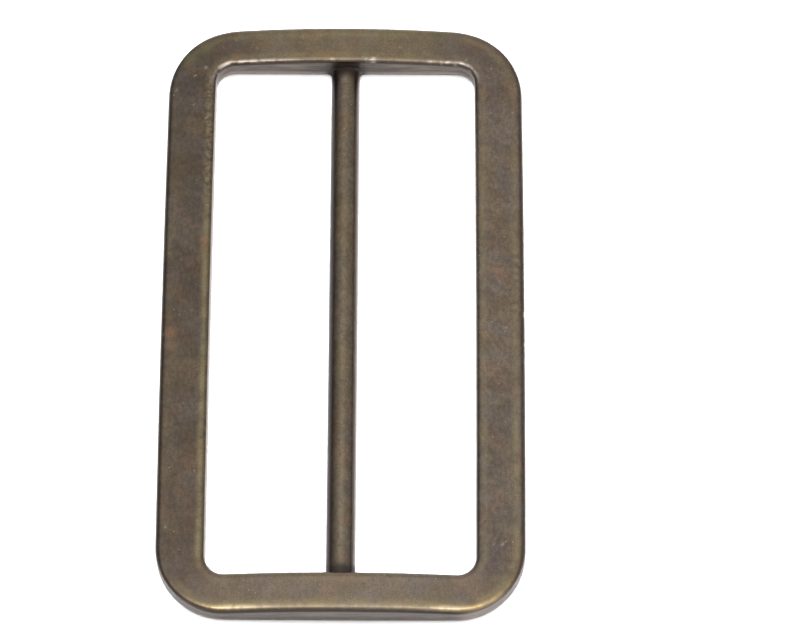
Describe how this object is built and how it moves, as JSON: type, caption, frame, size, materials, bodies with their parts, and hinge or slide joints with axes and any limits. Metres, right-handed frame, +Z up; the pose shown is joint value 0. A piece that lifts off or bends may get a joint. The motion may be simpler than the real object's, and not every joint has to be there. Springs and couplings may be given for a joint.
{
  "type": "strap slider",
  "caption": "Flat rectangular strap slider with rounded corners and a slim centre bar, cast in one piece, in an aged brass finish.",
  "frame": {"origin": "centre of the slider's outline, on the flat underside that it rests on", "axes": "+Y along the centre bar, which is the length; +X across the two slots; +Z up, out of the crowned top face"},
  "size_m": [0.035, 0.06, 0.0032],
  "materials": {
    "antique_brass": "antique-brass plated zinc die casting: tumbled, darkened and rubbed back, mottled olive brown, semi-matt, brighter along the edges"
  },
  "bodies": {
    "root": {"slider": "antique_brass"}
  },
  "joints": []
}
